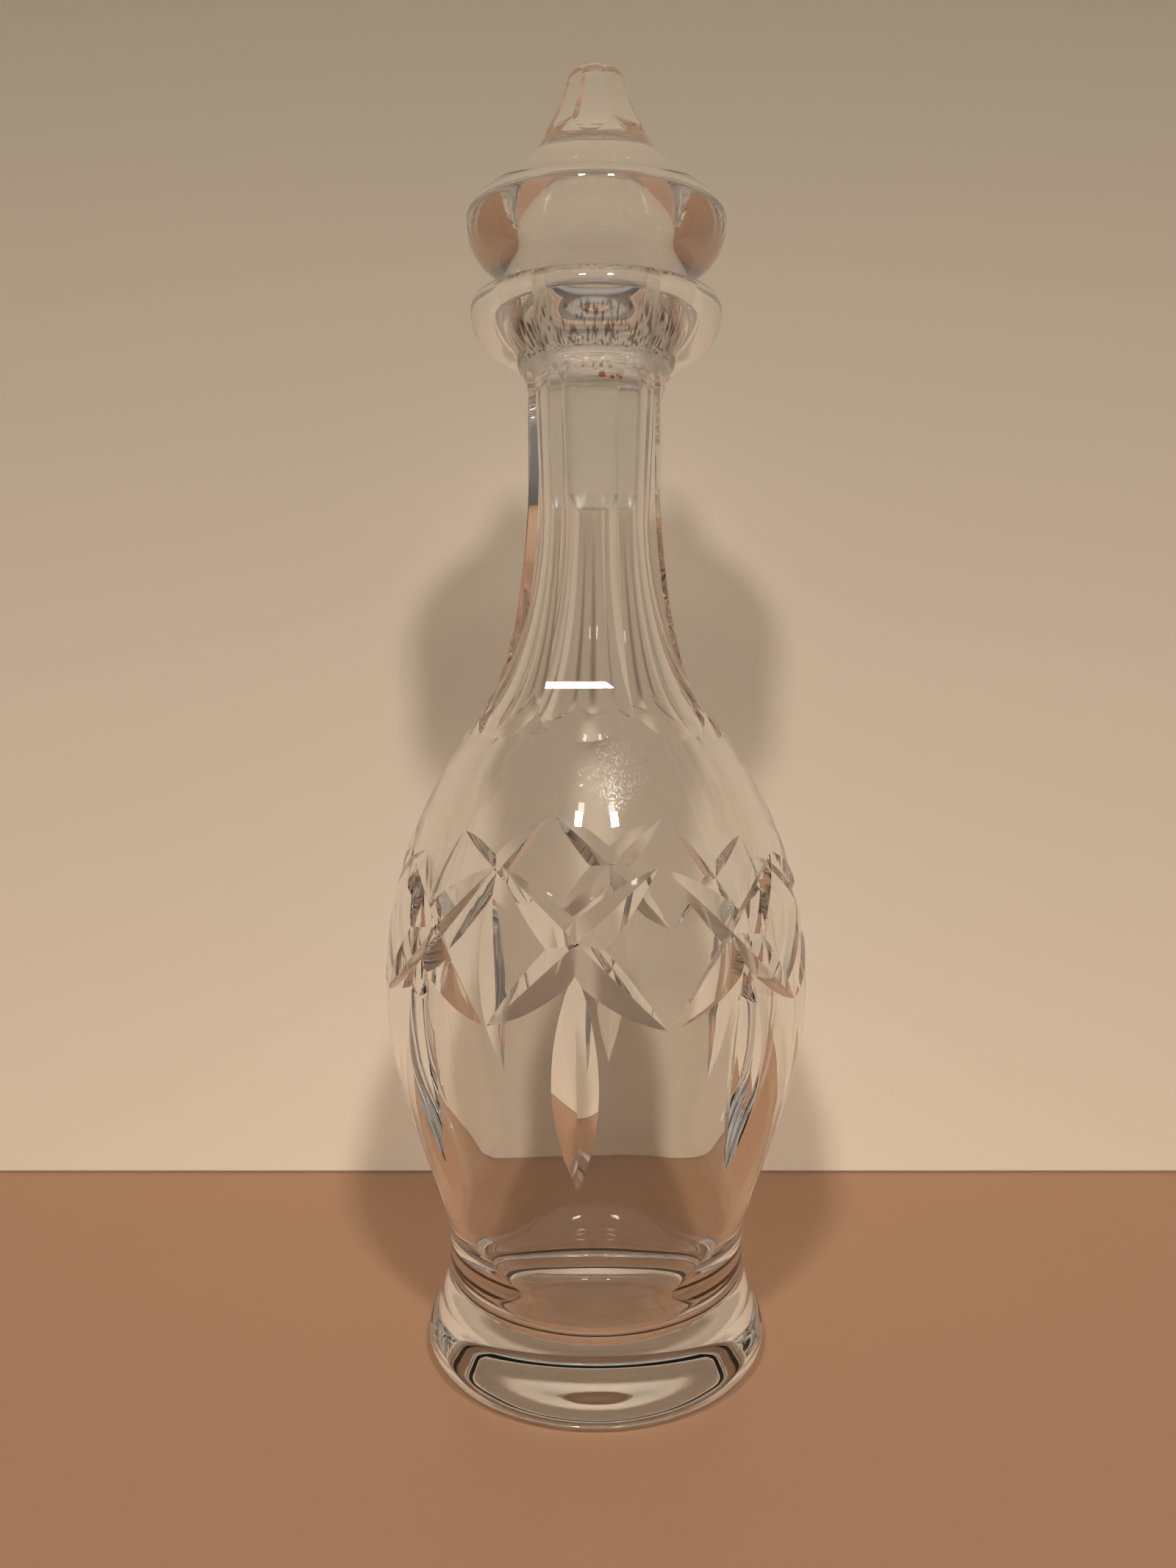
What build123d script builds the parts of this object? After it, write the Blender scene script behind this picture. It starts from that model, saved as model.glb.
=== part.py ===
from build123d import *
from math import cos, radians, sin, sqrt, tan
import os

# A cut crystal decanter: a blown and cut bottle with a ground neck, and a solid stopper.
# Millimetres, +Z up. The origin is on the axis, on the surface that the foot stands on.
# The front of the pattern faces -Y. Angles round the axis are from -Y towards +X.

# ---- Bottle: heights above the table and radii from the axis
bottle_height = 275.5
foot_radius = 45.0
foot_edge_radius = 7.0
foot_slope_radius = 42.6
foot_slope_height = 14.0
waist_radius = 39.1
waist_height = 31.0
bowl_radius = 43.4
bowl_height = 50.5
flank_radius = 52.2
flank_height = 78.5
belly_radius = 54.8
belly_height = 100.0
shoulder_radius = 49.8
shoulder_height = 134.0
slope_radius = 39.3
slope_height = 157.0
flare_radius = 29.2
flare_height = 174.0
throat_radius = 22.6
throat_height = 190.5
upper_throat_radius = 19.5
upper_throat_height = 208.0
neck_radius = 17.85
neck_start_height = 232.0

# ---- Bottle: walls, floor and the shallow hollow ground under the foot
wall = 7.0
flare_wall = 7.5
base_thickness = 14.0
floor_corner_radius = 9.5
punt_radius = 34.0
punt_slope = 7.0
punt_depth = 1.2

# ---- Collar round the mouth
collar_radius = 31.4
collar_depth = 23.7
collar_cove_rise = 7.2
collar_cove_reach = 5.0
crown_radius = 4.3
mouth_radius = 16.0
lip_radius = 2.4
throat_depth = 18.5

# ---- Ground joint: a 1 in 10 cone on the diameter
joint_slope = 0.05
plug_top_radius = 12.6
plug_length = 54.7
plug_bevel_height = 3.2
plug_bevel_reach = 2.4
seat_clearance = 0.25
socket_runout = 3.0

# ---- Stopper above the rim
stopper_gap = 1.6
stopper_root_radius = 1.5
knob_swell_radius = 23.2
knob_swell_rise = 2.7
knob_turn_radius = 29.2
knob_turn_rise = 6.5
knob_radius = 32.3
knob_lower_height = 15.2
knob_upper_height = 4.2
knob_upper_reach = 1.9
knob_cone_height = 10.6
knob_cone_reach = 13.4
finial_height = 22.8
finial_mid_radius = 12.0
finial_mid_height = 8.0
finial_tip_radius = 7.3
finial_dome_height = 3.2
finial_flat_radius = 1.6

# ---- Cutting
front_angle = -5.05
flutes = 8
flute_end_height = 166.3
flute_top_drop = 17.6
flute_arch_drop = 1.5
flute_arch_reach = 3.4
panel_bite = 0.15
facet_end_drop = 1.7
facet_end_reach = 2.6
stars = 8
star_top_height = 139.0
star_bottom_height = 102.5
mitre_half_angle = 57.5
star_depth = 3.2
star_overlap = 1.0
star_middle_rise = 1.5
leaf_top_height = 117.3
leaf_bottom_height = 63.1
leaf_depth = 3.7
cut_overrun = 1.15
mitre_reach = 9.0

# ---- Derived
flat = cos(radians(180 / flutes))
collar_start_height = bottle_height - collar_depth
rim_side_height = bottle_height - crown_radius
knob_under_height = bottle_height + stopper_gap
plug_tip_height = knob_under_height - plug_length
socket_end_height = plug_tip_height - socket_runout
socket_top_height = bottle_height - throat_depth
knob_side_height = knob_under_height + knob_lower_height
knob_crease_height = knob_side_height + knob_upper_height
finial_base_height = knob_crease_height + knob_cone_height
finial_base_radius = knob_radius - knob_upper_reach - knob_cone_reach
finial_tip_height = finial_base_height + finial_height - finial_dome_height


def plug_radius(height):
    """Radius of the stopper's ground cone at a height."""
    return plug_top_radius - joint_slope * (knob_under_height - height)


def socket_radius(height):
    """Radius of the neck's ground socket: the plug's cone and the clearance round it."""
    return plug_radius(height) + seat_clearance


bore_radius = socket_radius(socket_end_height)

# Outer side of the bottle from the foot's rounded edge to the straight neck
side_stations = [
    (foot_radius, foot_edge_radius),
    (foot_slope_radius, foot_slope_height),
    (waist_radius, waist_height),
    (bowl_radius, bowl_height),
    (flank_radius, flank_height),
    (belly_radius, belly_height),
    (shoulder_radius, shoulder_height),
    (slope_radius, slope_height),
    (flare_radius, flare_height),
    (throat_radius, throat_height),
    (upper_throat_radius, upper_throat_height),
    (neck_radius, neck_start_height),
]

# The inside follows the same heights, one wall further in, and ends in the bore
inside_stations = [(radius - wall, height) for radius, height in side_stations[2:8]]
inside_start = (waist_radius - wall - 1.6, base_thickness + floor_corner_radius)
inside_stations.insert(0, inside_start)
inside_stations.append((flare_radius - flare_wall, flare_height))
inside_stations.append((bore_radius, neck_start_height - 2 * wall))

with BuildLine(Plane.XZ) as side_curve:
    Spline(*side_stations, tangents=[(0, 1), (0, 1)])


def side_radius(height):
    """Outer radius of the uncut bottle at a height, found by halving along its side."""
    side = side_curve.edge()
    low, high = 0.0, 1.0
    for _ in range(40):
        middle = (low + high) / 2
        if (side @ middle).Z < height:
            low = middle
        else:
            high = middle
    return (side @ low).X


def surface_point(angle, height):
    """Point on the uncut bottle at an angle from the front and a height."""
    radius = side_radius(height)
    return Vector(radius * sin(radians(angle)), -radius * cos(radians(angle)), height)


def panel_radius(ridge_radius):
    """Distance from the axis to a flat panel whose edges lie just under a radius."""
    return flat * ridge_radius - panel_bite


def star_angle(step):
    """Angle of a mark of the star band, in steps of one star."""
    return front_angle + 360 / stars * step


def mitre_cut(tip_a, tip_b, surface_middle, depth, overlap=0.0):
    """A long V cut that starts and ends in a point on the surface."""
    chord_middle = (tip_a + tip_b) * 0.5
    along = (tip_b - tip_a).normalized()
    half = (tip_b - tip_a) * 0.5 + along * overlap
    outward = surface_middle - chord_middle
    outward = (outward - along * outward.dot(along)).normalized()
    rise = (surface_middle - chord_middle).dot(outward) - depth

    def floor_point(share):
        return chord_middle + half * share + outward * rise * (1 - share * share)

    with BuildPart() as groove:
        with BuildLine():
            floor_line = ThreePointArc(
                floor_point(-cut_overrun), floor_point(0), floor_point(cut_overrun)
            )
        start_plane = Plane(
            origin=floor_line @ 0,
            x_dir=(floor_line % 0).cross(outward),
            z_dir=floor_line % 0,
        )
        spread = mitre_reach * tan(radians(mitre_half_angle))
        lift = mitre_reach if start_plane.y_dir.dot(outward) > 0 else -mitre_reach
        with BuildSketch(start_plane):
            with BuildLine():
                Polyline((0, 0), (spread, lift), (-spread, lift), close=True)
            make_face()
        sweep(path=floor_line)
    return groove.part


# ---- Decanter body, before cutting: one turned shape, hollow
with BuildPart() as blank:
    with BuildSketch(Plane.XZ):
        with BuildLine():
            Line((0, punt_depth), (punt_radius - punt_slope, punt_depth))
            Line((punt_radius - punt_slope, punt_depth), (punt_radius, 0))
            Line((punt_radius, 0), (foot_radius - foot_edge_radius, 0))
            foot_edge_middle = foot_edge_radius * (1 - sqrt(0.5))
            ThreePointArc(
                (foot_radius - foot_edge_radius, 0),
                (foot_radius - foot_edge_middle, foot_edge_middle),
                (foot_radius, foot_edge_radius),
            )
            Spline(*side_stations, tangents=[(0, 1), (0, 1)])
            Line((neck_radius, neck_start_height), (neck_radius, collar_start_height))
            cove = TangentArc(
                (neck_radius, collar_start_height),
                (neck_radius + collar_cove_reach, collar_start_height + collar_cove_rise),
                tangent=(0, 1),
            )
            TangentArc(cove @ 1, (collar_radius, rim_side_height), tangent=cove % 1)
            crown_middle = crown_radius * (1 - sqrt(0.5))
            ThreePointArc(
                (collar_radius, rim_side_height),
                (collar_radius - crown_middle, bottle_height - crown_middle),
                (collar_radius - crown_radius, bottle_height),
            )
            Line((collar_radius - crown_radius, bottle_height), (mouth_radius + lip_radius, bottle_height))
            lip_middle = lip_radius * (1 - sqrt(0.5))
            ThreePointArc(
                (mouth_radius + lip_radius, bottle_height),
                (mouth_radius + lip_middle, bottle_height - lip_middle),
                (mouth_radius, bottle_height - lip_radius),
            )
            Spline(
                (mouth_radius, bottle_height - lip_radius),
                (socket_radius(socket_top_height), socket_top_height),
                tangents=[(0, -1), (-joint_slope, -1)],
            )
            Line(
                (socket_radius(socket_top_height), socket_top_height),
                (bore_radius, socket_end_height),
            )
            Line((bore_radius, socket_end_height), inside_stations[-1])
            Spline(*reversed(inside_stations), tangents=[(0, -1), (0, -1)])
            corner_middle = floor_corner_radius * (1 - sqrt(0.5))
            ThreePointArc(
                inside_start,
                (inside_start[0] - corner_middle, base_thickness + corner_middle),
                (inside_start[0] - floor_corner_radius, base_thickness),
            )
            Line((inside_start[0] - floor_corner_radius, base_thickness), (0, base_thickness))
            Line((0, base_thickness), (0, punt_depth))
        make_face()
    revolve(axis=Axis.Z)

# ---- One neck flute: a flat panel that runs from the shoulder to under the collar.
# It is drawn through its own middle line and taken straight across.
flute_end_radius = side_radius(flute_end_height)
flute_width = 2 * flute_end_radius * tan(radians(180 / flutes)) + 4
flute_top_height = bottle_height - flute_top_drop
with BuildPart() as flute:
    with BuildSketch(Plane.YZ.rotated((0, 0, front_angle)).rotated((0, 0, 180))):
        with BuildLine():
            floor = Spline(
                (flute_end_radius + 2.4, flute_end_height - 2.0),
                (flute_end_radius, flute_end_height),
                (panel_radius(flare_radius), flare_height),
                (panel_radius(throat_radius), throat_height),
                (panel_radius(upper_throat_radius), upper_throat_height),
                (panel_radius(neck_radius), neck_start_height),
                tangents=[(-0.77, 0.64), (0, 1)],
            )
            rise = Line(floor @ 1, (panel_radius(neck_radius), collar_start_height - flute_arch_drop))
            top = TangentArc(
                rise @ 1,
                (neck_radius + flute_arch_reach, flute_top_height),
                tangent=(0, 1),
            )
            Line(top @ 1, (2 * flute_end_radius, flute_top_height))
            Line((2 * flute_end_radius, flute_top_height), (2 * flute_end_radius, flute_end_height - 2.0))
            Line((2 * flute_end_radius, flute_end_height - 2.0), floor @ 0)
        make_face()
    extrude(amount=flute_width / 2, both=True)

# ---- The star band: two mitre cuts cross in each star, and a leaf hangs under it
star_cuts = []
leaf_cuts = []
star_middle_height = (star_top_height + star_bottom_height) / 2 + star_middle_rise
for star in range(stars):
    left, centre, right = star_angle(star - 0.5), star_angle(star), star_angle(star + 0.5)
    middle = surface_point((left + right) / 2, star_middle_height)
    falling = (surface_point(left, star_top_height), surface_point(right, star_bottom_height))
    rising = (surface_point(left, star_bottom_height), surface_point(right, star_top_height))
    star_cuts.append(mitre_cut(*falling, middle, star_depth, star_overlap))
    star_cuts.append(mitre_cut(*rising, middle, star_depth, star_overlap))
    leaf_top = surface_point((left + right) / 2, leaf_top_height)
    leaf_bottom = surface_point((left + right) / 2, leaf_bottom_height)
    leaf_middle = surface_point((left + right) / 2, (leaf_top_height + leaf_bottom_height) / 2)
    leaf_cuts.append(mitre_cut(leaf_top, leaf_bottom, leaf_middle, leaf_depth))

with BuildPart() as decanter_body:
    add(blank.part)
    for step in range(flutes):
        add(flute.part.rotate(Axis.Z, 360 / flutes * step), mode=Mode.SUBTRACT)
    for cut in star_cuts + leaf_cuts:
        add(cut, mode=Mode.SUBTRACT)

# ---- Stopper: a ground plug, a flattened knob and a finial, turned in one piece
with BuildPart() as stopper_blank:
    with BuildSketch(Plane.XZ):
        with BuildLine():
            plug_bottom_radius = plug_radius(plug_tip_height + plug_bevel_height)
            Line((0, plug_tip_height), (plug_bottom_radius - plug_bevel_reach, plug_tip_height))
            Line(
                (plug_bottom_radius - plug_bevel_reach, plug_tip_height),
                (plug_bottom_radius, plug_tip_height + plug_bevel_height),
            )
            plug_side = Line(
                (plug_bottom_radius, plug_tip_height + plug_bevel_height),
                (plug_radius(knob_under_height - stopper_root_radius), knob_under_height - stopper_root_radius),
            )
            root = TangentArc(
                plug_side @ 1,
                (plug_top_radius + stopper_root_radius, knob_under_height),
                tangent=(joint_slope, 1),
            )
            Spline(
                root @ 1,
                (knob_swell_radius, knob_under_height + knob_swell_rise),
                (knob_turn_radius, knob_under_height + knob_turn_rise),
                (knob_radius, knob_side_height),
                tangents=[root % 1, (0, 1)],
            )
            upper = TangentArc(
                (knob_radius, knob_side_height),
                (knob_radius - knob_upper_reach, knob_crease_height),
                tangent=(0, 1),
            )
            cone = Line(upper @ 1, (finial_base_radius, finial_base_height))
            spire = Spline(
                cone @ 1,
                (finial_mid_radius, finial_base_height + finial_mid_height),
                (finial_tip_radius, finial_tip_height),
                tangents=[cone % 1, (-0.3, 1)],
            )
            dome = Spline(
                spire @ 1,
                (finial_flat_radius, finial_tip_height + finial_dome_height),
                tangents=[(-0.55, 0.84), (-1, 0)],
            )
            Line(dome @ 1, (0, finial_tip_height + finial_dome_height))
            Line((0, finial_tip_height + finial_dome_height), (0, plug_tip_height))
        make_face()
    revolve(axis=Axis.Z)

# ---- One finial facet, taken straight across like a flute
facet_start_height = finial_base_height - facet_end_drop
facet_start_radius = finial_base_radius + facet_end_reach
with BuildPart() as facet:
    with BuildSketch(Plane.YZ.rotated((0, 0, front_angle)).rotated((0, 0, 180))):
        with BuildLine():
            face_line = Spline(
                (facet_start_radius, facet_start_height),
                (panel_radius(finial_mid_radius), finial_base_height + finial_mid_height),
                (panel_radius(finial_tip_radius), finial_tip_height),
                tangents=[(-0.85, 0.53), (-0.3, 1)],
            )
            over = Line(face_line @ 1, (panel_radius(finial_tip_radius) - 1.2, finial_tip_height + 4))
            Line(over @ 1, (3 * finial_base_radius, finial_tip_height + 4))
            Line((3 * finial_base_radius, finial_tip_height + 4), (3 * finial_base_radius, facet_start_height))
            Line((3 * finial_base_radius, facet_start_height), face_line @ 0)
        make_face()
    extrude(amount=finial_base_radius, both=True)

with BuildPart() as stopper:
    add(stopper_blank.part)
    for step in range(flutes):
        add(facet.part.rotate(Axis.Z, 360 / flutes * step), mode=Mode.SUBTRACT)

decanter_body.part.label = "decanter_body"
stopper.part.label = "stopper"
os.makedirs("parts", exist_ok=True)
export_step(decanter_body.part, "parts/decanter_body.step")
export_step(stopper.part, "parts/stopper.step")
print("decanter body", decanter_body.part.volume, decanter_body.part.bounding_box())
print("stopper", stopper.part.volume, stopper.part.bounding_box())
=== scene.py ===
# %% [markdown]
# # A cut crystal decanter
#
# The real thing is a heavy lead crystal bottle with a flared foot, a band of crossed
# mitre cuts round its belly, a fluted neck and a solid stopper with a ground plug.
# Clear glass shows every small ripple of its surface, because light bends at each one.
# So this lesson turns the bottle and the stopper again as smooth shapes of the CAD
# model's sizes, cuts them with the same wheels, and gives them their glass.

import math

import bpy
import numpy as np
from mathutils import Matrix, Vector


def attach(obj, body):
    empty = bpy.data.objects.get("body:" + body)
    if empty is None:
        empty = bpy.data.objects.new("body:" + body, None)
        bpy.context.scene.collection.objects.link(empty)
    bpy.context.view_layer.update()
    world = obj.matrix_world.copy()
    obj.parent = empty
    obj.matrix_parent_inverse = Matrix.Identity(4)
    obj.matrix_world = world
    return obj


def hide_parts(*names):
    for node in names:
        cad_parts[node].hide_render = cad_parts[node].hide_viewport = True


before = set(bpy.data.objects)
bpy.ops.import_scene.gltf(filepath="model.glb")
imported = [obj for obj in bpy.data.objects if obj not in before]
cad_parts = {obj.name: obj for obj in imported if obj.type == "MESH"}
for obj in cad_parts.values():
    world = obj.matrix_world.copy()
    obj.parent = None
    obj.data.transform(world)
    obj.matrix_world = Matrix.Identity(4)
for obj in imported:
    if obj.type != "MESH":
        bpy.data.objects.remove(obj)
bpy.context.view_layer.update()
print("nodes", list(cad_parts))

# %% [markdown]
# ## Outlines that flow
#
# A turned shape is drawn once as an outline, half of its section, and spun round the
# axis. On glass the outline must be smooth in its bend as well as in its direction, or
# the reflections kink. Bezier points can do that if their handles are worked out
# together: the handles then follow one line with even curvature through all the
# points. Straight runs and arcs are drawn with handles too, so a whole outline is one
# Bezier curve.


# %% Runs of an outline
def straight(start, end):
    """A straight run: two points, each with its place, left handle and right handle."""
    a, b = Vector(start), Vector(end)
    third = (b - a) / 3
    return [(a, a, a + third), (b, b - third, b)]


def arc(start, end, direction):
    """An arc that leaves its start in a direction."""
    a, b = Vector(start), Vector(end)
    chord = b - a
    leave = Vector(direction).normalized()
    arrive = 2 * leave.dot(chord.normalized()) * chord.normalized() - leave
    half_turn = leave.angle(chord)
    radius = chord.length / (2 * math.sin(half_turn))
    handle = 4 / 3 * math.tan(half_turn / 2) * radius
    return [(a, a, a + leave * handle), (b, b - arrive * handle, b)]


def last_direction(run):
    """The direction in which a run ends."""
    return (run[-1][0] - run[-1][1]).normalized()


def flow(points, leave, arrive):
    """A smooth run through all its points, with even curvature."""
    places = np.array(points, dtype=float)
    gaps = np.linalg.norm(np.diff(places, axis=0), axis=1)
    count = len(places)
    balance = np.zeros((count, count))
    wanted = np.zeros_like(places)
    balance[0, 0] = balance[-1, -1] = 1
    wanted[0] = np.array(leave) / np.linalg.norm(leave)
    wanted[-1] = np.array(arrive) / np.linalg.norm(arrive)
    for i in range(1, count - 1):
        before, after = gaps[i - 1], gaps[i]
        balance[i, i - 1] = 1 / before
        balance[i, i] = 2 / before + 2 / after
        balance[i, i + 1] = 1 / after
        wanted[i] = 3 * (places[i] - places[i - 1]) / before**2
        wanted[i] += 3 * (places[i + 1] - places[i]) / after**2
    slopes = np.linalg.solve(balance, wanted)
    run = []
    for i in range(count):
        left = places[i] - slopes[i] * gaps[max(i - 1, 0)] / 3
        right = places[i] + slopes[i] * gaps[min(i, count - 2)] / 3
        run.append((Vector(places[i]), Vector(left), Vector(right)))
    return run


def chain(*runs):
    """Runs that meet end to end, as one outline."""
    points = list(runs[0])
    for run in runs[1:]:
        points[-1] = (points[-1][0], points[-1][1], run[0][2])
        points += run[1:]
    return points


print("a quarter arc", arc((1, 0), (0, 1), (0, 1)))

# %% [markdown]
# ## Sizes of the bottle
#
# These are the CAD model's own sizes, in millimetres. A pair is a radius and a height.
# The frame hands over boxes only, so a size that changes there is changed here too.
# The foot is ground flat on a ring, with a slightly hollow disc inside it. The side
# runs through a dozen stations from the foot to the neck.

# %% The bottle's side, foot and collar
rim = 275.5
foot_radius = 45.0
foot_edge = 7.0
ring_inner = 34.0
hollow_radius = 27.0
hollow_depth = 1.2
neck = 17.85
neck_start = 232.0
collar_start = 251.8
collar_radius = 31.4
cove_reach = 5.0
cove_rise = 7.2
crown = 4.3
side_stations = [
    (foot_radius, foot_edge),
    (42.6, 14.0),
    (39.1, 31.0),
    (43.4, 50.5),
    (52.2, 78.5),
    (54.8, 100.0),
    (49.8, 134.0),
    (39.3, 157.0),
    (29.2, 174.0),
    (22.6, 190.5),
    (19.5, 208.0),
    (neck, neck_start),
]
side = flow(side_stations, (0, 1), (0, 1))

# %% The ground joint
knob_under = 277.1
plug_top = 12.6
plug_tip = 222.4
joint_slope = 0.05
clearance = 0.25
mouth_radius = 16.0
lip = 2.4
socket_height = rim - 18.5


def plug_radius(height):
    """Radius of the stopper's ground cone at a height."""
    return plug_top - joint_slope * (knob_under - height)


socket_end = plug_tip - 3
bore = plug_radius(socket_end) + clearance
socket_top = (plug_radius(socket_height) + clearance, socket_height)
print("bore", bore, "socket top", socket_top)

# %% The inner side, one wall further in
wall_thickness = 7
floor_height = 14.0
floor_corner = (30.5, 23.5)
floor_edge = (21.0, floor_height)
inside_stations = [floor_corner]
inside_stations += [
    (radius - wall_thickness, height) for radius, height in side_stations[2:8]
]
inside_stations += [(21.7, 174.0), (bore, 218.0)]
print("side points", len(side), "inside points", len(inside_stations))


# %% Radius of the side at a height
def radius_at(height):
    """Outer radius of the uncut bottle, found by halving along its side."""
    for first, second in zip(side, side[1:]):
        if first[0].y <= height <= second[0].y:
            low, high = 0.0, 1.0
            for _ in range(40):
                t = (low + high) / 2
                u = 1 - t
                place = u**3 * first[0] + 3 * u * u * t * first[2]
                place += 3 * u * t * t * second[1] + t**3 * second[0]
                low, high = (t, high) if place.y < height else (low, t)
            return place.x


flute_end = 166.3
end_radius = radius_at(flute_end)
print("radius at the ends of the flutes", end_radius)

# %% The whole outline of the bottle
cove_end = (neck + cove_reach, collar_start + cove_rise)
collar_side = (collar_radius, rim - crown)
rim_outer = (27.1, rim)
rim_inner = (18.4, rim)
mouth_top = (mouth_radius, rim - lip)
cove = arc((neck, collar_start), cove_end, (0, 1))
bottle_outline = chain(
    straight((0, hollow_depth), (hollow_radius, hollow_depth)),
    straight((hollow_radius, hollow_depth), (ring_inner, 0)),
    straight((ring_inner, 0), (foot_radius - foot_edge, 0)),
    arc((foot_radius - foot_edge, 0), (foot_radius, foot_edge), (1, 0)),
    side,
    straight((neck, neck_start), (neck, collar_start)),
    cove,
    arc(cove_end, collar_side, last_direction(cove)),
    arc(collar_side, rim_outer, (0, 1)),
    straight(rim_outer, rim_inner),
    arc(rim_inner, mouth_top, (-1, 0)),
    flow([mouth_top, socket_top], (0, -1), (-joint_slope, -1)),
    straight(socket_top, (bore, socket_end)),
    straight((bore, socket_end), inside_stations[-1]),
    flow(inside_stations[::-1], (0, -1), (0, -1)),
    arc(floor_corner, floor_edge, (0, -1)),
    straight(floor_edge, (0, floor_height)),
)
print("outline points", len(bottle_outline))

# %% [markdown]
# ## Drawing and turning
#
# The outline becomes a Bezier curve, the curve becomes a line of edges, and the spin
# tool turns it about the upright axis. Where the line meets the axis, its turned points
# fall together, and merging them closes the shape. Points that lie on a straight run
# say nothing new, so they are dissolved first.


# %% Draw an outline, and turn it
def draw(name, outline, place, fineness, closed=False):
    """An outline as a line of edges. place turns a radius and a height into a place."""
    bpy.ops.object.select_all(action="DESELECT")
    bpy.ops.curve.primitive_bezier_curve_add()
    line = bpy.context.object
    line.name = name
    line.data.resolution_u = fineness
    spline = line.data.splines[0]
    spline.bezier_points.add(len(outline) - 2)
    spline.use_cyclic_u = closed
    for point, (middle, left, right) in zip(spline.bezier_points, outline):
        point.handle_left_type = point.handle_right_type = "FREE"
        point.co = place(middle)
        point.handle_left = place(left)
        point.handle_right = place(right)
    bpy.ops.object.convert(target="MESH")
    bpy.ops.object.mode_set(mode="EDIT")
    bpy.ops.mesh.select_all(action="SELECT")
    bpy.ops.mesh.remove_doubles(threshold=1e-6)
    bpy.ops.mesh.dissolve_limited(angle_limit=math.radians(0.02))
    bpy.ops.object.mode_set(mode="OBJECT")
    return bpy.context.object


def half_section(point):
    """The place of an outline point in the half plane that is spun."""
    return (point.x / 1000, 0, point.y / 1000)


def turn(name, outline, steps, fineness, closed=False):
    """A turned shape."""
    piece = draw(name, outline, half_section, fineness, closed)
    bpy.ops.object.mode_set(mode="EDIT")
    bpy.ops.mesh.select_all(action="SELECT")
    bpy.ops.mesh.spin(steps=steps, angle=2 * math.pi, center=(0, 0, 0), axis=(0, 0, 1))
    bpy.ops.mesh.select_all(action="SELECT")
    bpy.ops.mesh.remove_doubles(threshold=2e-6)
    bpy.ops.mesh.normals_make_consistent(inside=False)
    bpy.ops.object.mode_set(mode="OBJECT")
    return piece


turn_steps = 144
bottle = turn("bottle", bottle_outline, turn_steps, 12)
print("turned bottle", len(bottle.data.polygons), "faces", tuple(bottle.dimensions))

# %% [markdown]
# ## The cutter's wheels
#
# A cutter holds the blank against a wheel. The flutes of the neck come from a flat
# face that follows the neck's own curve. The stars and leaves come from a wheel with a
# V edge, a mitre wheel, whose cut starts and ends in a point. Each wheel is modelled
# once, copied round the axis in steps of an eighth of a turn, and taken away from the
# glass with a Boolean modifier. The flutes meet along their ridges, so they are cut one
# after another.

# %% Turn copies round the axis, and cut
front_angle = -5.05
flutes = 8
eighths = [front_angle + 360 / flutes * step for step in range(flutes)]


def round_the_axis(tool, angles):
    """One object that holds a tool at several angles from the front, in degrees."""
    copies = []
    for angle in angles:
        bpy.ops.object.select_all(action="DESELECT")
        tool.select_set(True)
        bpy.context.view_layer.objects.active = tool
        bpy.ops.object.duplicate()
        copy = bpy.context.object
        copy.rotation_euler.z = math.radians(angle)
        bpy.ops.object.transform_apply(location=False, rotation=True, scale=False)
        copies.append(copy)
    bpy.ops.object.select_all(action="DESELECT")
    for copy in copies:
        copy.select_set(True)
    bpy.context.view_layer.objects.active = copies[0]
    if len(copies) > 1:
        bpy.ops.object.join()
    return bpy.context.object


def cut_away(piece, tool):
    """Takes a tool's shape out of a piece, and deletes the tool."""
    bpy.ops.object.select_all(action="DESELECT")
    piece.select_set(True)
    bpy.context.view_layer.objects.active = piece
    cutting = piece.modifiers.new("cut", "BOOLEAN")
    cutting.operation = "DIFFERENCE"
    cutting.solver = "EXACT"
    cutting.object = tool
    bpy.ops.object.modifier_apply(modifier=cutting.name)
    bpy.data.objects.remove(tool, do_unlink=True)


def cut_one_by_one(piece, wheel):
    """Cuts with a wheel at each eighth of a turn, one cut after another."""
    for angle in eighths:
        cut_away(piece, round_the_axis(wheel, [angle]))
    bpy.data.objects.remove(wheel, do_unlink=True)


def cut_all_at_once(piece, wheel):
    """Cuts with a wheel at all the eighths of a turn together."""
    cut_away(piece, round_the_axis(wheel, eighths))
    bpy.data.objects.remove(wheel, do_unlink=True)


print("cuts at", eighths)

# %% A block with a flat cutting face
half_step = 180 / flutes
flat = math.cos(math.radians(half_step))
panel_bite = 0.15


def panel(ridge_radius):
    """Distance from the axis to a flat panel whose edges lie just under a radius."""
    return flat * ridge_radius - panel_bite


def front_section(point):
    """The place of an outline point in the upright plane that faces the front."""
    return (0, -point.x / 1000, point.y / 1000)


def block(name, outline, half_width, fineness):
    """A closed outline in the front section, made a block that runs straight across."""
    tool = draw(name, outline, front_section, fineness, closed=True)
    bpy.ops.object.mode_set(mode="EDIT")
    bpy.ops.mesh.select_all(action="SELECT")
    bpy.ops.mesh.edge_face_add()
    bpy.ops.transform.translate(value=(-half_width, 0, 0))
    across = {"value": (2 * half_width, 0, 0)}
    bpy.ops.mesh.extrude_region_move(TRANSFORM_OT_translate=across)
    bpy.ops.mesh.select_all(action="SELECT")
    bpy.ops.mesh.normals_make_consistent(inside=False)
    bpy.ops.object.mode_set(mode="OBJECT")
    return tool


print("a panel of the neck lies", panel(neck), "from the axis")

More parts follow.
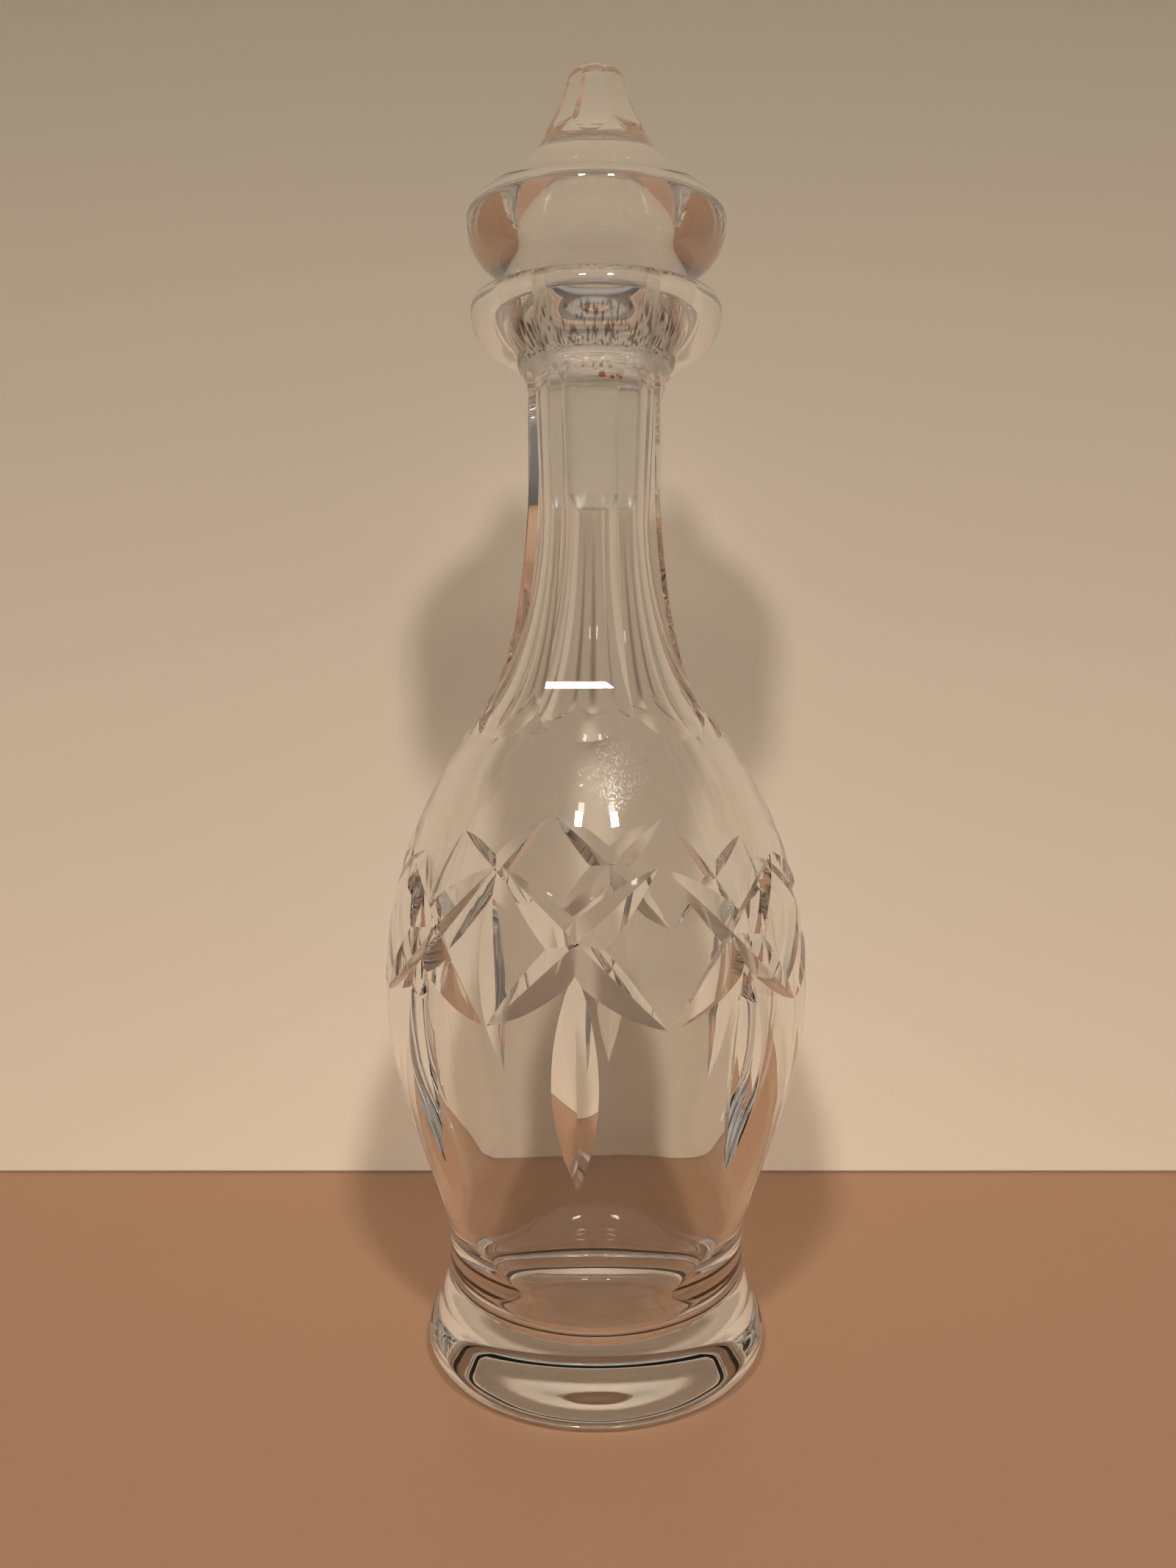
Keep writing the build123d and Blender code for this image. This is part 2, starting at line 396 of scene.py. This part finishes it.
# %% The flute wheel. Its outline closes on itself, so the last point is left off
flute_start = (end_radius + 2.4, flute_end - 2)
arch_start = (panel(neck), collar_start - 1.5)
arch_end = (neck + 3.4, rim - 17.6)
clear_of_glass = 2 * end_radius
flute_stations = [flute_start, (end_radius, flute_end)]
flute_stations += [(panel(radius), height) for radius, height in side_stations[8:]]
flute_outline = chain(
    flow(flute_stations, (-0.77, 0.64), (0, 1)),
    straight((panel(neck), neck_start), arch_start),
    arc(arch_start, arch_end, (0, 1)),
    straight(arch_end, (clear_of_glass, arch_end[1])),
    straight((clear_of_glass, arch_end[1]), (clear_of_glass, flute_start[1])),
    straight((clear_of_glass, flute_start[1]), flute_start),
)[:-1]
flute_width = 2 * end_radius * math.tan(math.radians(half_step)) + 4
flute = block("flute_wheel", flute_outline, flute_width / 2000, 16)
print("flute", tuple(flute.dimensions))

# %% Cut the eight flutes
cut_one_by_one(bottle, flute)
print("fluted bottle", len(bottle.data.polygons), "faces")

# %% [markdown]
# ## The star band
#
# A mitre cut is the path of a V edge. Three points fix it: the two tips, which lie on
# the surface, and the deepest point between them. A circle through these is the floor
# of the cut, and a V section is spun about that circle's centre, a little past both
# tips. Two such cuts cross in each star, and a third hangs under it as a leaf.


# %% The mitre wheel
mitre_half_angle = 57.5
mitre_reach = 0.009
overrun = 1.15


def on_side(angle, height):
    """A place on the uncut side, at an angle from the front."""
    turned = math.radians(angle)
    radius = radius_at(height)
    return Vector((radius * math.sin(turned), -radius * math.cos(turned), height)) / 1000


def mitre(name, tip_a, tip_b, surface_middle, depth, overlap):
    """The space a V wheel takes: a V swept along an arc from point to point."""
    middle = (tip_a + tip_b) / 2
    along = (tip_b - tip_a).normalized()
    reach = overrun * ((tip_b - tip_a).length / 2 + overlap)
    outward = surface_middle - middle
    outward = (outward - along * outward.dot(along)).normalized()
    rise = (surface_middle - middle).dot(outward) - depth
    sag = overrun**2 * rise
    radius = (reach**2 + sag**2) / (2 * sag)
    hub = middle + outward * (rise - radius)
    half_turn = math.asin(reach / radius)
    axis = along.cross(outward).normalized()
    bpy.ops.object.select_all(action="DESELECT")
    bpy.ops.mesh.primitive_circle_add(vertices=3, fill_type="NGON")
    tool = bpy.context.object
    tool.name = name
    section_out = outward * math.cos(half_turn) - along * math.sin(half_turn)
    floor = hub + section_out * radius
    mouth = floor + section_out * mitre_reach
    spread = mitre_reach * math.tan(math.radians(mitre_half_angle))
    corners = [floor, mouth + axis * spread, mouth - axis * spread]
    for vertex, corner in zip(tool.data.vertices, corners):
        vertex.co = corner
    bpy.ops.object.mode_set(mode="EDIT")
    bpy.ops.mesh.select_all(action="SELECT")
    bpy.ops.mesh.spin(steps=32, angle=2 * half_turn, center=hub, axis=axis)
    bpy.ops.mesh.select_all(action="SELECT")
    bpy.ops.mesh.normals_make_consistent(inside=False)
    bpy.ops.object.mode_set(mode="OBJECT")
    return tool


print("a point of the side", on_side(0, 100))

# %% Cut the stars and the leaves
star_top = 139.0
star_bottom = 102.5
star_middle = on_side(0, 122.25)
star_depth = 0.0032
star_overlap = 0.001
leaf_top = on_side(0, 117.3)
leaf_middle = on_side(0, 90.2)
leaf_bottom = on_side(0, 63.1)
leaf_depth = 0.0037
for left_height, right_height in ((star_top, star_bottom), (star_bottom, star_top)):
    left_tip = on_side(-half_step, left_height)
    right_tip = on_side(half_step, right_height)
    star = mitre("star_wheel", left_tip, right_tip, star_middle, star_depth, star_overlap)
    cut_all_at_once(bottle, star)
leaf = mitre("leaf_wheel", leaf_top, leaf_bottom, leaf_middle, leaf_depth, 0)
cut_all_at_once(bottle, leaf)
print("cut bottle", len(bottle.data.polygons), "faces")

# %% [markdown]
# ## The stopper
#
# It is one solid piece: a ground plug, a knob like a flattened ball with a crease where
# its cone begins, and a finial with eight facets. It is turned and cut like the bottle.

# %% The plug and the knob
root_radius = 1.5
bevel_rise = 3.2
bevel_reach = 2.4
bevel_top = (plug_radius(plug_tip + bevel_rise), plug_tip + bevel_rise)
bevel_foot = (bevel_top[0] - bevel_reach, plug_tip)
root_start = (plug_radius(knob_under - root_radius), knob_under - root_radius)
root_end = (plug_top + root_radius, knob_under)
root = arc(root_start, root_end, (joint_slope, 1))
knob_swell = (23.2, knob_under + 2.7)
knob_turn = (29.2, knob_under + 6.5)
knob_side = (32.3, 292.3)
knob = flow([root_end, knob_swell, knob_turn, knob_side], last_direction(root), (0, 1))
print("bevel", bevel_foot, bevel_top)

# %% The cone, the finial and the whole outline
crease = (30.4, 296.5)
finial_base = (17.0, 307.1)
finial_middle = 12.0
finial_middle_height = finial_base[1] + 8
finial_tip = (7.3, 326.7)
dome_edge = (1.6, finial_tip[1] + 3.2)
spire_points = [finial_base, (finial_middle, finial_middle_height), finial_tip]
stopper_outline = chain(
    straight((0, plug_tip), bevel_foot),
    straight(bevel_foot, bevel_top),
    straight(bevel_top, tuple(root[0][0])),
    root,
    knob,
    arc(knob_side, crease, (0, 1)),
    straight(crease, finial_base),
    flow(spire_points, (-13.4, 10.6), (-0.3, 1)),
    flow([finial_tip, dome_edge], (-0.55, 0.84), (-1, 0)),
    straight(dome_edge, (0, dome_edge[1])),
)

# %% Turn the stopper
stopper = turn("stopper_piece", stopper_outline, turn_steps, 12)
print("turned stopper", len(stopper.data.polygons), "faces", tuple(stopper.dimensions))

# %% Cut the finial's facets
facet_start = (19.6, finial_base[1] - 1.7)
facet_middle = (panel(finial_middle), finial_middle_height)
facet_end = (panel(finial_tip[0]), finial_tip[1])
over_tip = finial_tip[1] + 4
clear_of_knob = 51.0
facet_half_width = 0.017
facet_outline = chain(
    flow([facet_start, facet_middle, facet_end], (-0.85, 0.53), (-0.3, 1)),
    straight(facet_end, (facet_end[0] - 1.2, over_tip)),
    straight((facet_end[0] - 1.2, over_tip), (clear_of_knob, over_tip)),
    straight((clear_of_knob, over_tip), (clear_of_knob, facet_start[1])),
    straight((clear_of_knob, facet_start[1]), facet_start),
)[:-1]
facet = block("facet_wheel", facet_outline, facet_half_width, 16)
cut_one_by_one(stopper, facet)
print("cut stopper", len(stopper.data.polygons), "faces")

# %% [markdown]
# ## Polish
#
# On the real glass the turned surfaces are fire smooth, and each cut keeps a crisp
# edge. Shading by angle does the same: faces that meet at less than 14 degrees shade as
# one surface. The finished pieces then take the places of the CAD nodes and ride on
# the same bodies. A count of open edges shows whether each one is closed.


# %% Smooth where turned, crisp where cut
def polish(piece, body, node):
    """Smooth shading with crisp cut edges, and the piece's place in the frame."""
    bpy.ops.object.select_all(action="DESELECT")
    piece.select_set(True)
    bpy.context.view_layer.objects.active = piece
    bpy.ops.object.mode_set(mode="EDIT")
    bpy.ops.mesh.select_all(action="SELECT")
    bpy.ops.mesh.remove_doubles(threshold=1e-6)
    bpy.ops.object.mode_set(mode="OBJECT")
    bpy.ops.object.shade_smooth_by_angle(angle=math.radians(14))
    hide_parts(node)
    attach(piece, body)
    shared = {}
    for face in piece.data.polygons:
        for key in face.edge_keys:
            shared[key] = shared.get(key, 0) + 1
    open_edges = sum(1 for uses in shared.values() if uses != 2)
    print(piece.name, "faces", len(piece.data.polygons), "open edges", open_edges)


polish(bottle, "bottle", "decanter_body")
polish(stopper, "stopper", "stopper")

# %% [markdown]
# ## The dried film inside the mouth
#
# Wine that dries where the stopper sits leaves a milky film with brown specks. It
# clings to the glass, so it is seen even where the glass acts as a mirror. A thin skin
# just under the surface of the mouth shows this from every side. The skin is a closed
# ring that follows the mouth's own curve.


# %% Turn the film
def mouth_curve(inset):
    """The mouth's inner curve, set a little into the glass."""
    upper = (mouth_top[0] + inset, mouth_top[1])
    lower = (socket_top[0] + inset, socket_top[1])
    return flow([upper, lower], (0, -1), (-joint_slope, -1))


near_curve = mouth_curve(0.05)
far_curve = [(middle, right, left) for middle, left, right in mouth_curve(0.11)[::-1]]
film_outline = chain(
    near_curve,
    straight(tuple(near_curve[-1][0]), tuple(far_curve[0][0])),
    far_curve,
    straight(tuple(far_curve[-1][0]), tuple(near_curve[0][0])),
)[:-1]
film = turn("dried_film", film_outline, 96, 12, closed=True)
bpy.ops.object.shade_smooth_by_angle(angle=math.radians(30))
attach(film, "bottle")
print("film", len(film.data.polygons), "faces", tuple(film.dimensions))

# %% [markdown]
# ## The table and the wall
#
# Clear glass has hardly any colour of its own. It shows what stands behind it and
# under it, bent by every curve and cut, so the stage matters as much as the glass. The
# decanter stands on a plain tan board close in front of a plain pale wall, whose colour
# has painted shade that darkens it higher up. The line where they meet is what draws the
# dark curve inside the lower bottle, and a narrow gap under the wall makes it dark. The
# wall is made see-through from behind, so that the decanter can be walked round.


# %% Stage sizes and a plain matt finish
wall_distance = 0.112
wall_gap = 0.0008
stage_reach = 1.6


def matt(name, colour, roughness):
    """A plain matt material."""
    finish = bpy.data.materials.new(name)
    finish.use_nodes = True
    shader = finish.node_tree.nodes["Principled BSDF"]
    shader.inputs["Base Color"].default_value = (*colour, 1)
    shader.inputs["Roughness"].default_value = roughness
    return finish


# The wall's pale colour low down, and the painted shade colour it darkens to higher up.
wall_low_tone = (0.80, 0.70, 0.57)
wall_painted_shade_tone = (0.236, 0.215, 0.169)
board_finish = matt("tan_board", (0.37, 0.205, 0.12), 0.6)
wall_finish = matt("pale_wall", wall_low_tone, 0.9)
print("stage finishes ready")

# %% The board
bpy.ops.object.select_all(action="DESELECT")
bpy.ops.mesh.primitive_plane_add(size=2 * stage_reach, location=(0, 0, 0))
board = bpy.context.object
board.name = "board"
board.data.materials.append(board_finish)
print("board", tuple(board.dimensions))

# %% The wall, with its back side made clear
bpy.ops.object.select_all(action="DESELECT")
bpy.ops.mesh.primitive_plane_add(
    size=2 * stage_reach,
    location=(0, wall_distance, stage_reach + wall_gap),
    rotation=(math.pi / 2, 0, 0),
)
wall = bpy.context.object
wall.name = "wall"
bpy.ops.object.transform_apply(location=True, rotation=True, scale=True)
wall.data.materials.append(wall_finish)
nodes, links = wall_finish.node_tree.nodes, wall_finish.node_tree.links
facing = nodes.new("ShaderNodeNewGeometry")
clear = nodes.new("ShaderNodeBsdfTransparent")
choose = nodes.new("ShaderNodeMixShader")
links.new(facing.outputs["Backfacing"], choose.inputs["Fac"])
links.new(nodes["Principled BSDF"].outputs["BSDF"], choose.inputs[1])
links.new(clear.outputs["BSDF"], choose.inputs[2])
links.new(choose.outputs["Shader"], nodes["Material Output"].inputs["Surface"])
print("wall faces", tuple(wall.data.polygons[0].normal))

# %% The wall's colour, with painted shade that makes it a little darker higher up
wall_place = nodes.new("ShaderNodeTexCoord")
split = nodes.new("ShaderNodeSeparateXYZ")
# This ramp paints shade into the wall's colour, darker higher up, in place of light that
# falls off.
painted_shade_ramp = nodes.new("ShaderNodeValToRGB")
painted_shade_ramp.color_ramp.elements[0].color = (*wall_low_tone, 1)
painted_shade_ramp.color_ramp.elements[1].position = 0.45
painted_shade_ramp.color_ramp.elements[1].color = (*wall_painted_shade_tone, 1)
links.new(wall_place.outputs["Object"], split.inputs[0])
links.new(split.outputs["Z"], painted_shade_ramp.inputs["Fac"])
links.new(painted_shade_ramp.outputs["Color"], nodes["Principled BSDF"].inputs["Base Color"])
print("wall tone from", tuple(painted_shade_ramp.color_ramp.elements[0].color))

# %% [markdown]
# ## The glass
#
# Lead crystal bends light more than window glass, with an index of about 1.55. It is
# water clear. What makes it look used and real is small: two drips of wine under the
# mouth, the fine frost of the ground joint, a few scratches on the shoulder and a dull
# ring under the foot. Each of these is a mask. A mask only changes the colour and the
# roughness, so the glass stays glass. The dried film is a skin of its own, with its own
# finish further down.


# %% Small helpers for node trees
def add_node(tree, kind, **settings):
    """A new node with its settings."""
    node = tree.nodes.new(kind)
    for name, value in settings.items():
        setattr(node, name, value)
    return node


def join(tree, value, socket):
    """Sets a socket to a number or a vector, or links it to another socket."""
    if isinstance(value, (int, float, tuple)):
        socket.default_value = value
    else:
        tree.links.new(value, socket)


def calculate(tree, operation, *values):
    """A Math node. A value is a number or a socket."""
    node = add_node(tree, "ShaderNodeMath", operation=operation)
    for place, value in enumerate(values):
        join(tree, value, node.inputs[place])
    return node.outputs[0]


def ramp(tree, value, start, end):
    """Rises smoothly from 0 to 1 while a value goes from start to end."""
    node = add_node(tree, "ShaderNodeMapRange", interpolation_type="SMOOTHSTEP")
    join(tree, value, node.inputs["Value"])
    join(tree, start, node.inputs["From Min"])
    join(tree, end, node.inputs["From Max"])
    return node.outputs[0]


def new_group(name, ins, outs):
    """A shader node group with named sockets."""
    tree = bpy.data.node_groups.new(name, "ShaderNodeTree")
    number = "NodeSocketFloat"
    for label, value in ins:
        socket = tree.interface.new_socket(label, in_out="INPUT", socket_type=number)
        socket.default_value = value
    for label in outs:
        tree.interface.new_socket(label, in_out="OUTPUT", socket_type=number)
    given = add_node(tree, "NodeGroupInput").outputs
    return tree, given, add_node(tree, "NodeGroupOutput").inputs


print("helpers ready")

# %% A ring round the axis, between two radii and two heights
radius_blur = 0.0002
ring_group, given, result = new_group(
    "ring_mask",
    [("Inner", 0.0), ("Outer", 0.1), ("Low", 0.0), ("High", 0.1), ("Blur", 0.001)],
    ["Mask"],
)
place = add_node(ring_group, "ShaderNodeTexCoord").outputs["Object"]
parts = add_node(ring_group, "ShaderNodeSeparateXYZ")
ring_group.links.new(place, parts.inputs[0])
across = calculate(ring_group, "MULTIPLY", parts.outputs["X"], parts.outputs["X"])
square = calculate(ring_group, "MULTIPLY_ADD", parts.outputs["Y"], parts.outputs["Y"], across)
radius = calculate(ring_group, "SQRT", square)
masks = []
for value, low, high in ((radius, "Inner", "Outer"), (parts.outputs["Z"], "Low", "High")):
    blur = given["Blur"] if low == "Low" else radius_blur
    under = calculate(ring_group, "SUBTRACT", given[low], blur)
    masks.append(ramp(ring_group, value, under, given[low]))
    over = calculate(ring_group, "ADD", given[high], blur)
    masks.append(ramp(ring_group, value, over, given[high]))
whole = masks[0]
for mask in masks[1:]:
    whole = calculate(ring_group, "MULTIPLY", whole, mask)
ring_group.links.new(whole, result["Mask"])
print("group", ring_group.name)

# %% Fine streaks: noise that is squeezed in one direction
streak_group, given, result = new_group(
    "streaks",
    [("Fineness", 1500.0), ("Stretch", 0.3), ("Least", 0.55), ("Most", 0.65)],
    ["Mask"],
)
place = add_node(streak_group, "ShaderNodeTexCoord").outputs["Object"]
parts = add_node(streak_group, "ShaderNodeSeparateXYZ")
streak_group.links.new(place, parts.inputs[0])
squeezed = add_node(streak_group, "ShaderNodeCombineXYZ")
streak_group.links.new(parts.outputs["X"], squeezed.inputs["X"])
streak_group.links.new(parts.outputs["Y"], squeezed.inputs["Y"])
upright = calculate(streak_group, "MULTIPLY", parts.outputs["Z"], given["Stretch"])
streak_group.links.new(upright, squeezed.inputs["Z"])
grain = add_node(streak_group, "ShaderNodeTexNoise")
streak_group.links.new(squeezed.outputs[0], grain.inputs["Vector"])
streak_group.links.new(given["Fineness"], grain.inputs["Scale"])
grain.inputs["Detail"].default_value = 2
streak = ramp(streak_group, grain.outputs[0], given["Least"], given["Most"])
streak_group.links.new(streak, result["Mask"])
print("group", streak_group.name)

# %% Waves of hand polishing
wave_group, given, result = new_group("polish_waves", [("Fineness", 90.0)], ["Height"])
place = add_node(wave_group, "ShaderNodeTexCoord").outputs["Object"]
wave = add_node(wave_group, "ShaderNodeTexNoise")
wave_group.links.new(place, wave.inputs["Vector"])
wave_group.links.new(given["Fineness"], wave.inputs["Scale"])
wave.inputs["Detail"].default_value = 1
wave_group.links.new(wave.outputs[0], result["Height"])
print("group", wave_group.name)


# %% Clear crystal
glass_index = 1.55
shadow_tint = (0.34, 0.33, 0.31, 1)
wave_height = 0.00002


def crystal(name):
    """Clear crystal with its polish waves. Shadow rays pass, dimmed by the glass."""
    finish = bpy.data.materials.new(name)
    finish.use_nodes = True
    tree = finish.node_tree
    shader = tree.nodes["Principled BSDF"]
    shader.inputs["IOR"].default_value = glass_index
    shader.inputs["Transmission Weight"].default_value = 1.0
    waves = add_node(tree, "ShaderNodeGroup", node_tree=wave_group)
    bump = add_node(tree, "ShaderNodeBump")
    bump.inputs["Distance"].default_value = wave_height
    tree.links.new(waves.outputs["Height"], bump.inputs["Height"])
    tree.links.new(bump.outputs["Normal"], shader.inputs["Normal"])
    light = add_node(tree, "ShaderNodeLightPath")
    clear = add_node(tree, "ShaderNodeBsdfTransparent")
    clear.inputs["Color"].default_value = shadow_tint
    choose = add_node(tree, "ShaderNodeMixShader")
    tree.links.new(light.outputs["Is Shadow Ray"], choose.inputs["Fac"])
    tree.links.new(shader.outputs["BSDF"], choose.inputs[1])
    tree.links.new(clear.outputs["BSDF"], choose.inputs[2])
    tree.links.new(choose.outputs["Shader"], tree.nodes["Material Output"].inputs["Surface"])
    return finish, tree, shader


def placed(tree, group, values):
    """A group placed in a material, with its values in the order of its inputs."""
    node = add_node(tree, "ShaderNodeGroup", node_tree=group)
    for socket, value in zip(node.inputs, values):
        socket.default_value = value
    return node.outputs["Mask"]


def ring(tree, inner, outer, low, high, blur):
    """A ring mask in a material, with its sizes in metres."""
    return placed(tree, ring_group, (inner, outer, low, high, blur))


def streaks(tree, fineness, stretch, least, most):
    """A streak mask in a material."""
    return placed(tree, streak_group, (fineness, stretch, least, most))


def near(tree, centre, far, close):
    """1 close to a point, and 0 beyond a distance from it."""
    reach = add_node(tree, "ShaderNodeVectorMath", operation="DISTANCE")
    where = add_node(tree, "ShaderNodeTexCoord").outputs["Object"]
    tree.links.new(where, reach.inputs[0])
    reach.inputs[1].default_value = centre
    return ramp(tree, reach.outputs["Value"], far, close)


def lay_over(tree, below, colour, mask):
    """A colour laid over another where a mask is 1."""
    node = add_node(tree, "ShaderNodeMix", data_type="RGBA")
    tree.links.new(mask, node.inputs[0])
    join(tree, below, node.inputs[6])
    node.inputs[7].default_value = (*colour, 1)
    return node.outputs[2]


clear_colour = (0.985, 0.985, 0.975, 1)
drip_edge = 1.3
print("crystal ready")

# %% The bottle: drips, frost, scratches and foot wear
bottle_finish, tree, shader = crystal("bottle_crystal")
frost = ring(tree, 0.0095, 0.0122, 0.2194, 0.2570, 0.0005)
wear = ring(tree, 0.0335, 0.0385, -0.001, 0.0006, 0.0004)
large_drip = near(tree, (0.0016, -0.0115, 0.2545), 0.0008 * drip_edge, 0.0008)
small_drip = near(tree, (0.0042, -0.0110, 0.2538), 0.0005 * drip_edge, 0.0005)
drips = calculate(tree, "MAXIMUM", large_drip, small_drip)
scratched = near(tree, (0.006, -0.036, 0.160), 0.013, 0.005)
scratches = calculate(tree, "MULTIPLY", scratched, streaks(tree, 2600, 0.05, 0.57, 0.63))
colour = lay_over(tree, clear_colour, (0.30, 0.03, 0.01), drips)
join(tree, colour, shader.inputs["Base Color"])
rough = calculate(tree, "MULTIPLY", frost, 0.06)
for mask, amount in ((wear, 0.35), (scratches, 0.35)):
    rough = calculate(tree, "MAXIMUM", rough, calculate(tree, "MULTIPLY", mask, amount))
join(tree, rough, shader.inputs["Roughness"])
print("nodes in the bottle's crystal", len(tree.nodes))

# %% The stopper: a finely ground plug
stopper_finish, tree, shader = crystal("stopper_crystal")
ground = ring(tree, 0.0085, 0.0123, 0.2256, 0.2570, 0.0005)
grit = streaks(tree, 5000, 1.0, 0.3, 0.7)
rough = calculate(tree, "MULTIPLY", ground, calculate(tree, "MULTIPLY_ADD", grit, 0.05, 0.05))
join(tree, rough, shader.inputs["Roughness"])
colour = lay_over(tree, clear_colour, (0.96, 0.96, 0.95), ground)
join(tree, colour, shader.inputs["Base Color"])
for piece, finish in ((bottle, bottle_finish), (stopper, stopper_finish)):
    piece.data.materials.clear()
    piece.data.materials.append(finish)
print("glass on", bottle.name, "and", stopper.name)

# %% [markdown]
# ## The finish of the dried film
#
# The film is not glass. It is a matt layer that is almost clear between its specks, so
# its Alpha carries the pattern: a thin cloudy haze over the whole ring, and denser
# upright specks in a belt round its middle.

# %% The dried film: a milky haze with brown specks
mouth_inner = 0.0112
mouth_outer = 0.0170
film_finish = bpy.data.materials.new("dried_wine")
film_finish.use_nodes = True
tree = film_finish.node_tree
shader = tree.nodes["Principled BSDF"]
shader.inputs["Roughness"].default_value = 0.9
cloud = add_node(tree, "ShaderNodeTexNoise")
film_place = add_node(tree, "ShaderNodeTexCoord").outputs["Object"]
tree.links.new(film_place, cloud.inputs["Vector"])
cloud.inputs["Scale"].default_value = 160
patches = ramp(tree, cloud.outputs[0], 0.25, 0.75)
whole_film = ring(tree, mouth_inner, mouth_outer, 0.2600, 0.2700, 0.003)
haze = calculate(tree, "MULTIPLY", whole_film, 0.22)
haze = calculate(tree, "MULTIPLY", haze, calculate(tree, "MULTIPLY_ADD", patches, 0.8, 0.6))
belt = ring(tree, mouth_inner, mouth_outer, 0.2650, 0.2705, 0.0025)
strokes = calculate(tree, "MULTIPLY", belt, streaks(tree, 1450, 0.35, 0.52, 0.60))
cover = calculate(tree, "MAXIMUM", haze, calculate(tree, "MULTIPLY", strokes, 0.5))
colour = lay_over(tree, (0.80, 0.77, 0.72, 1), (0.20, 0.12, 0.07), strokes)
join(tree, cover, shader.inputs["Alpha"])
join(tree, colour, shader.inputs["Base Color"])
film.data.materials.append(film_finish)
print("film finish on", film.name)

# %% [markdown]
# ## Light and camera
#
# Two small lights hang high in front, a little to each side. They throw the two soft
# shadows on the wall and the small bright stars in the cuts. The room is bright above
# and dim at eye level: this puts the dark lines along the edges of clear glass. It
# shows in the glass only, and does not light the matt board and wall, so the two
# shadows stay clear.


# %% Soft lights
lamp_size = 0.12
lamp_colour = (1.0, 0.92, 0.82)
aim_point = Vector((0, 0, 0.16))


def soft_light(name, place, power):
    """A square soft light that looks at the decanter."""
    lamp = bpy.data.lights.new(name, "AREA")
    lamp.size = lamp_size
    lamp.energy = power
    lamp.color = lamp_colour
    holder = bpy.data.objects.new(name, lamp)
    bpy.context.collection.objects.link(holder)
    holder.location = place
    aim = aim_point - Vector(place)
    holder.rotation_euler = aim.to_track_quat("-Z", "Y").to_euler()
    return holder


soft_light("right_light", (0.30, -1.2, 1.35), 16.5)
soft_light("left_light", (-0.29, -1.2, 1.35), 15)

# %% The room: bright above, dim at eye level
room = bpy.data.worlds.new("room")
room.use_nodes = True
tree = room.node_tree
upward = add_node(tree, "ShaderNodeSeparateXYZ")
direction = add_node(tree, "ShaderNodeTexCoord").outputs["Generated"]
tree.links.new(direction, upward.inputs[0])
glow = add_node(tree, "ShaderNodeValToRGB")
glow.color_ramp.elements[0].color = (0.085, 0.08, 0.075, 1)
glow.color_ramp.elements[1].color = (0.45, 0.42, 0.38, 1)
tree.links.new(upward.outputs["Z"], glow.inputs["Fac"])
tree.links.new(glow.outputs["Color"], tree.nodes["Background"].inputs["Color"])
room.cycles_visibility.diffuse = False
bpy.context.scene.world = room
bpy.context.scene.view_settings.view_transform = "Standard"
print("room ready")

# %% [markdown]
# ## Light inside thick glass
#
# In thick cut glass light is thrown back and forth many times before it comes out. Each
# throw is a bounce. With the usual four mirror bounces the stars would show black
# facets, so more are allowed.

# %% Bounces
cycles = bpy.context.scene.cycles
cycles.max_bounces = 32
cycles.glossy_bounces = 24
cycles.transmission_bounces = 32
print("bounces", cycles.max_bounces)

# %% The camera, close in front and looking a little down
camera_tilt = 6.11
lens = bpy.data.cameras.new("camera")
lens.sensor_fit = "VERTICAL"
lens.sensor_height = 36
lens.lens = 29.28
lens.shift_x = -0.0052
lens.clip_start = 0.01
camera = bpy.data.objects.new("camera", lens)
bpy.context.collection.objects.link(camera)
camera.location = (0, -0.3302, 0.1882)
camera.rotation_euler = (math.radians(90 - camera_tilt), 0, 0)
bpy.context.scene.camera = camera
print("camera", tuple(camera.location), "lens", lens.lens)
